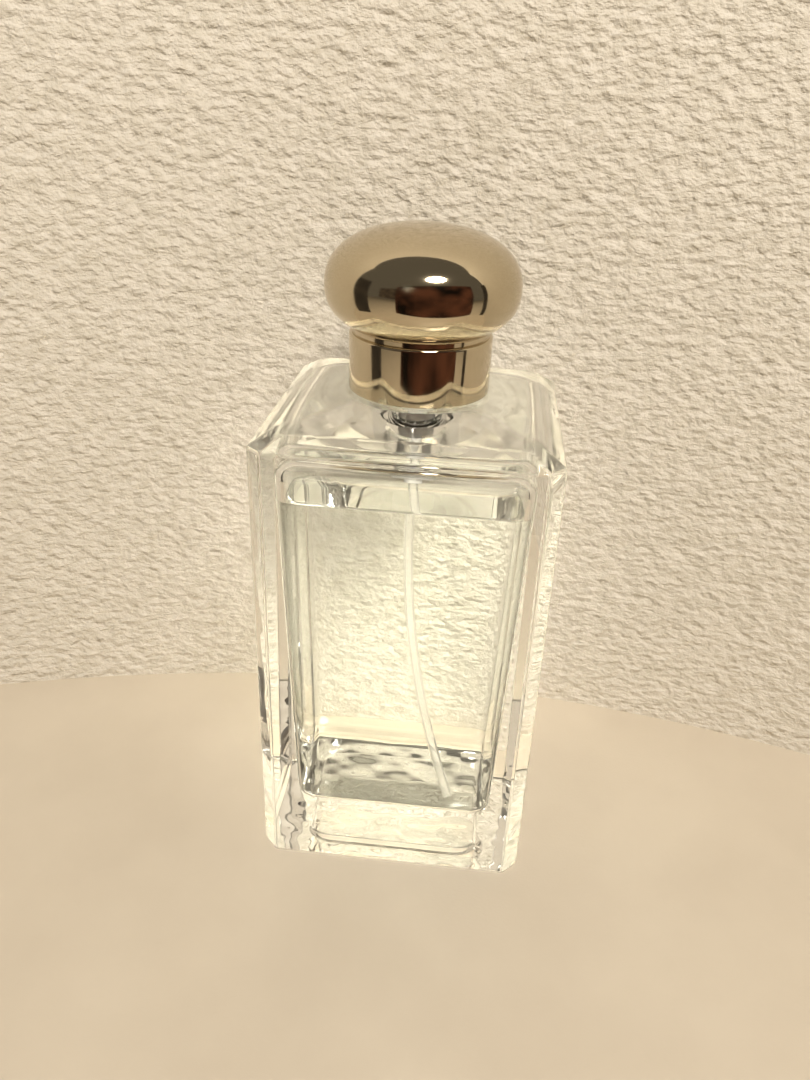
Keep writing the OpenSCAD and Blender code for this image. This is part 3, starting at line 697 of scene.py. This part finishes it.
class Finish:
    """A material under construction."""

    def __init__(self, name):
        self.material = bpy.data.materials.new(name)
        self.material.use_nodes = True
        self.tree = self.material.node_tree
        self.tree.nodes.clear()

    def node(self, kind, settings=None, inputs=None, out=0):
        made = self.tree.nodes.new(kind)
        for key, value in (settings or {}).items():
            setattr(made, key, value)
        for key, value in (inputs or {}).items():
            if isinstance(value, Wire):
                self.tree.links.new(value.socket, made.inputs[key])
            else:
                made.inputs[key].default_value = value
        return Wire(self, made.outputs[out]) if made.outputs else None

    def noise(self, scale, detail=2.0, stretch=(1, 1, 1)):
        place = self.node("ShaderNodeTexCoord", out="Object")
        place = self.node("ShaderNodeMapping", {}, {"Vector": place, "Scale": stretch})
        return self.node("ShaderNodeTexNoise", {}, {"Vector": place, "Scale": scale, "Detail": detail},
                         out="Fac")

    def spread(self, value, low, high):
        """Stretches a noise, which stays near its middle, over the range from low to high."""
        return self.node("ShaderNodeMapRange", {"clamp": True},
                         {"Value": value, "From Min": 0.35, "From Max": 0.65, "To Min": low, "To Max": high})

    def tones(self, value, first, second):
        return self.node("ShaderNodeMix", {"data_type": "RGBA"},
                         {"Factor": self.spread(value, 0, 1), 6: first, 7: second}, out=2)

    def bump(self, height, distance):
        return self.node("ShaderNodeBump", {}, {"Height": height, "Distance": distance})

    def shader(self, **values):
        return self.node("ShaderNodeBsdfPrincipled", {}, {k.replace("_", " "): v for k, v in values.items()})

    def done(self, shader):
        self.node("ShaderNodeOutputMaterial", {}, {"Surface": shader})
        return self.material


def paint(piece, *materials):
    piece.data.materials.clear()
    for material in materials:
        piece.data.materials.append(material)


# %% [markdown]
# ## Glass and perfume
#
# Light bends where one clear stuff meets another, by the ratio of their indices. So the outer skin and
# the dry inside have the index of glass, and the wet inside has glass over perfume. A renderer finds
# little light through bent glass, which would leave a black shadow, so shadow rays pass straight
# through with only a slight loss.

# %% Glass
GLASS_IOR, PERFUME_IOR, TUBE_IOR = 1.52, 1.36, 1.49
GLASS_TINT, GLASS_SHADE = (0.955, 0.972, 0.962, 1), (0.92, 0.924, 0.915, 1)


def clear_stuff(name, ior, tint, shade, wave=0.0, wave_scale=60.0, smudge=0.0, milk=0.0):
    f = Finish(name)
    inputs = {"Base Color": tint, "IOR": ior, "Transmission Weight": 1.0, "Roughness": 0.0}
    if smudge:
        place = f.node("ShaderNodeTexCoord", out="Object")
        height = f.node("ShaderNodeSeparateXYZ", {}, {0: place}, out=2)
        high_up = f.node("ShaderNodeMapRange", {"clamp": True}, {
            "Value": height, "From Min": BODY_H, "From Max": BEVEL_Z, "To Min": 0.1, "To Max": 1.0})
        inputs["Roughness"] = f.spread(f.noise(70, 4), 0.2, 1.0) * high_up * smudge
    if wave:
        inputs["Normal"] = f.bump(f.noise(wave_scale, 1.0), wave)
    body = f.node("ShaderNodeBsdfPrincipled", {}, inputs)
    if milk:
        cloud = f.shader(Base_Color=(0.93, 0.92, 0.88, 1), Roughness=f.spread(f.noise(400, 3), 0.3, 0.5))
        share = f.spread(f.noise(300, 2), 0.8 * milk, 1.2 * milk)
        body = f.node("ShaderNodeMixShader", {}, {0: share, 1: body, 2: cloud})
    passing = f.node("ShaderNodeBsdfTransparent", {}, {"Color": shade})
    shadow = f.node("ShaderNodeLightPath", out="Is Shadow Ray")
    return f.done(f.node("ShaderNodeMixShader", {}, {0: shadow, 1: body, 2: passing}))


WET_IOR = GLASS_IOR / PERFUME_IOR
outer_glass = clear_stuff("polished_glass", GLASS_IOR, GLASS_TINT, GLASS_SHADE, smudge=0.11)
inner_glass = clear_stuff("moulded_glass", GLASS_IOR, GLASS_TINT, GLASS_SHADE, wave=0.12 * MM, wave_scale=90)
wet_glass = clear_stuff("wet_glass", WET_IOR, GLASS_TINT, GLASS_SHADE, wave=0.2 * MM, wave_scale=70)
floor_glass = clear_stuff("floor_glass", WET_IOR, GLASS_TINT, GLASS_SHADE, wave=0.5 * MM, wave_scale=110)
foot_glass = clear_stuff("foot_glass", GLASS_IOR, GLASS_TINT, GLASS_SHADE, wave=0.4 * MM, wave_scale=120)
paint(glass, outer_glass, inner_glass, wet_glass, floor_glass, foot_glass)
FOOT_SHARE = 0.9
for face in glass.data.polygons:
    c = face.center
    between_walls = abs(c.x) < ROOF_X + LIFT and abs(c.y) < ROOF_Y + LIFT
    face.material_index = 0
    if between_walls and FLOOR_Z - LIFT < c.z < ROOF_Z + 2 * LIFT:
        face.material_index = 1 if c.z > POOL_Z else 2 if c.z > FLOOR_Z + FLOOR_R else 3
    elif c.z < PUNT_DEPTH + LIFT and max(abs(c.x) / HALF_W, abs(c.y) / HALF_D) < FOOT_SHARE:
        face.material_index = 4

# %% Perfume and tube
PERFUME_TINT, PERFUME_SHADE = (0.99, 0.99, 0.985, 1), (0.97, 0.97, 0.95, 1)
CREEP_BAND = 0.6 * MM
pool_top = clear_stuff("perfume_surface", PERFUME_IOR, PERFUME_TINT, PERFUME_SHADE, wave=0.01 * MM)
film = Finish("perfume_side")
film_haze = film.tones(film.noise(40), (0.985, 0.988, 0.982, 1), (0.992, 0.993, 0.99, 1))
pool_side = film.done(film.node("ShaderNodeBsdfTransparent", {}, {"Color": film_haze}))
paint(perfume, pool_top, pool_side)
for face in perfume.data.polygons:
    face.material_index = 0 if face.center.z > POOL_Z - CREEP_BAND and face.normal.z > 0.3 else 1

TUBE_TINT, TUBE_SHADE, TUBE_MILK = (0.98, 0.975, 0.96, 1), (0.9, 0.9, 0.88, 1), 0.13
wet_tube = clear_stuff("wet_tube", TUBE_IOR / PERFUME_IOR, TUBE_TINT, TUBE_SHADE, milk=TUBE_MILK)
dry_tube = clear_stuff("dry_tube", TUBE_IOR, TUBE_TINT, TUBE_SHADE, milk=TUBE_MILK)
paint(tube, wet_tube, dry_tube)
for face in tube.data.polygons:
    face.material_index = 1 if face.center.z > POOL_Z else 0

# %% [markdown]
# ## Metals, plastics and rubber
#
# The cap is polished and plated in a warm pale nickel, with fine wiping marks and a faint unevenness
# from polishing. The collar and the button are bright anodised sheet with fine lines from turning.

# %% Metals
def plated(name, first, second, patch, dull, grain, detail=4, lines=1, ripple=0.0):
    """Metal with patches of two near tones, and grain in its gloss, drawn out into lines by turning."""
    f = Finish(name)
    values = {"Base_Color": f.tones(f.noise(patch, 3), (*first, 1), (*second, 1)), "Metallic": 1.0,
              "Roughness": f.spread(f.noise(grain, detail, stretch=(1, 1, lines)), *dull)}
    if ripple:
        values["Normal"] = f.bump(f.noise(110, 1), ripple)
    return f.done(f.shader(**values))


cap_metal = plated("cap_metal", (0.52, 0.445, 0.315), (0.60, 0.52, 0.385), 35, (0.05, 0.11), 60, 6, 3,
                   0.012 * MM)
collar_metal = plated("collar_metal", (0.80, 0.74, 0.64), (0.86, 0.81, 0.72), 50, (0.14, 0.24), 40, lines=60)
button_metal = plated("button_metal", (0.80, 0.74, 0.65), (0.87, 0.82, 0.74), 70, (0.12, 0.22), 50, lines=60)
ferrule_metal = plated("ferrule_metal", (0.72, 0.72, 0.73), (0.82, 0.82, 0.83), 90, (0.25, 0.42), 60, 5, 20)
spring_steel = plated("spring_steel", (0.58, 0.59, 0.61), (0.72, 0.73, 0.75), 300, (0.18, 0.34), 900)
ball_steel = plated("ball_steel", (0.72, 0.73, 0.75), (0.80, 0.81, 0.83), 400, (0.04, 0.10), 900)

# %% [markdown]
# The plastics are moulded and slightly uneven in tone, and the seals are matt black rubber. Both have
# a very fine relief from the mould.

# %% Plastics and rubber
def moulded(name, first, second, patch, dull, grain, pores, depth):
    """Moulded plastic or rubber: two near tones, uneven gloss and fine pores."""
    f = Finish(name)
    return f.done(f.shader(Base_Color=f.tones(f.noise(patch, 4), (*first, 1), (*second, 1)),
                           Roughness=f.spread(f.noise(grain, 4), *dull),
                           Normal=f.bump(f.noise(pores, 3), depth)))


white_plastic = moulded("white_plastic", (0.82, 0.82, 0.79), (0.88, 0.88, 0.86), 250, (0.32, 0.48), 500,
                        2500, 0.01 * MM)
insert_plastic = moulded("insert_plastic", (0.76, 0.76, 0.73), (0.83, 0.83, 0.80), 150, (0.38, 0.55), 400,
                         1800, 0.015 * MM)
seal_rubber = moulded("seal_rubber", (0.035, 0.035, 0.036), (0.07, 0.07, 0.072), 400, (0.65, 0.85), 900,
                      3000, 0.02 * MM)

# %% [markdown]
# Every part inside the pump that keeps its CAD shape gets its finish here, and so does every finished
# piece of metal and plastic.

# %% Painting the parts
kept = {"neck_gasket": seal_rubber, "stem_gasket": seal_rubber, "pump_housing": white_plastic,
        "check_ball": ball_steel, "plunger_pin": white_plastic, "pump_piston": insert_plastic,
        "pump_stem": white_plastic, "turret": white_plastic, "crimp_ferrule": ferrule_metal,
        "collar_liner": insert_plastic, "button_core": white_plastic}
for name, material in kept.items():
    paint(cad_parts[name], material)
for piece, material in ((cap, cap_metal), (collar, collar_metal), (button_cup, button_metal),
                        (nozzle, white_plastic), (cap_insert, insert_plastic),
                        (lift_spring, spring_steel), (slip_spring, spring_steel)):
    paint(piece, material)
print(len(kept), "CAD parts repainted")

# %% Floor and wall paint
f = Finish("floor_paint")
paint(floor, f.done(f.shader(
    Base_Color=f.tones(f.noise(25, 5), (0.63, 0.56, 0.465, 1), (0.68, 0.61, 0.51, 1)),
    Roughness=f.spread(f.noise(60, 4), 0.38, 0.5), Normal=f.bump(f.noise(1500, 2), 0.02 * MM))))
f = Finish("wall_paint")
plaster = f.bump(f.noise(360, 5, stretch=(1, 1, 1.5)), 1.9 * MM)
coat = f.shader(Base_Color=f.tones(f.noise(330, 5), (0.76, 0.71, 0.62, 1), (0.86, 0.81, 0.73, 1)),
                Roughness=0.85, Normal=plaster)
behind = f.node("ShaderNodeNewGeometry", out="Backfacing")
clear = f.node("ShaderNodeBsdfTransparent")
paint(wall, f.done(f.node("ShaderNodeMixShader", {}, {0: behind, 1: coat, 2: clear})))

# %% [markdown]
# ## What the mirror sees
#
# A mirror shows its surroundings, so the cap needs a dark room to reflect: plain dark cards stand round
# the bottle and glow with a dim light of their own, with a faint unevenness. This glow is painted light
# that stands in for a dimly lit room. The one in front glows dark and warm, like a person in brown, and
# shows only in reflections. The other three also show through the glass, where they draw the thin dark
# lines that make its edges read. None of them shows to the camera straight on or casts a shadow.

# %% Dark cards
def card(name, centre, size, dark, light, edging=False):
    """An upright card that faces the bottle and glows with a dim painted light that stands in for a dim
    room. It shows in reflections, and with edging through glass.
    """
    clear_selection()
    bpy.ops.mesh.primitive_plane_add(size=1)
    plate = begin(name)
    bpy.ops.object.mode_set(mode="OBJECT")
    facing = (Vector((0, 0, centre[2])) - Vector(centre)).to_track_quat("Z", "Y").to_matrix().to_4x4()
    plate.data.transform(Matrix.Translation(centre) @ facing @ Matrix.Diagonal((*size, 1, 1)))
    plate.visible_camera = plate.visible_diffuse = plate.visible_shadow = False
    plate.visible_transmission = edging
    f = Finish(name + "_cloth")
    # Painted light: the card's uneven dark colour is emitted, a glow that stands in for a dimly lit room.
    room_glow = f.tones(f.noise(9, 2), (*dark, 1), (*light, 1))
    paint(plate, f.done(f.node("ShaderNodeEmission", {}, {"Color": room_glow, "Strength": 1.0})))


SIDE_DARK, SIDE_LIGHT = (0.03, 0.025, 0.02), (0.07, 0.055, 0.04)
card("front_card", (0.060, -0.185, 0.12), (0.36, 0.24), (0.012, 0.008, 0.006), (0.14, 0.055, 0.03))
card("left_card", (-0.20, -0.09, 0.11), (0.07, 0.22), SIDE_DARK, SIDE_LIGHT, edging=True)
card("right_card", (0.24, 0.00, 0.11), (0.14, 0.22), SIDE_DARK, SIDE_LIGHT, edging=True)
card("room_card", (0.05, -0.70, 0.25), (1.60, 0.34), (0.05, 0.035, 0.025), (0.12, 0.09, 0.06), edging=True)
print("four cards stand round the bottle")

# %% [markdown]
# ## What rides on what
#
# Each finished piece rides on a body of the frame and stands for the CAD part that it was drawn over,
# which is hidden. Each row also names one of the record's slots for its finish, which the script doesn't
# use.

# %% Rides
for piece, body, node, slot in ((glass, "bottle", "glass_bottle", "clear_glass"),
                                (perfume, "bottle", "perfume_liquid", "perfume"),
                                (tube, "bottle", "dip_tube", "tube_plastic"),
                                (lift_spring, "bottle", "return_spring", "spring_steel"),
                                (slip_spring, "stem", "piston_spring", "spring_steel"),
                                (collar, "bottle", "collar_sleeve", "collar_metal"),
                                (button_cup, "button", "button_shell", "button_metal"),
                                (nozzle, "button", "nozzle_insert", "white_plastic"),
                                (cap_insert, "cap", "cap_insert", "insert_plastic"),
                                (cap, "cap", "cap_shell", "cap_metal")):
    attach(piece, body)
    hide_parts(node)

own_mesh(lift_spring)
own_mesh(slip_spring)
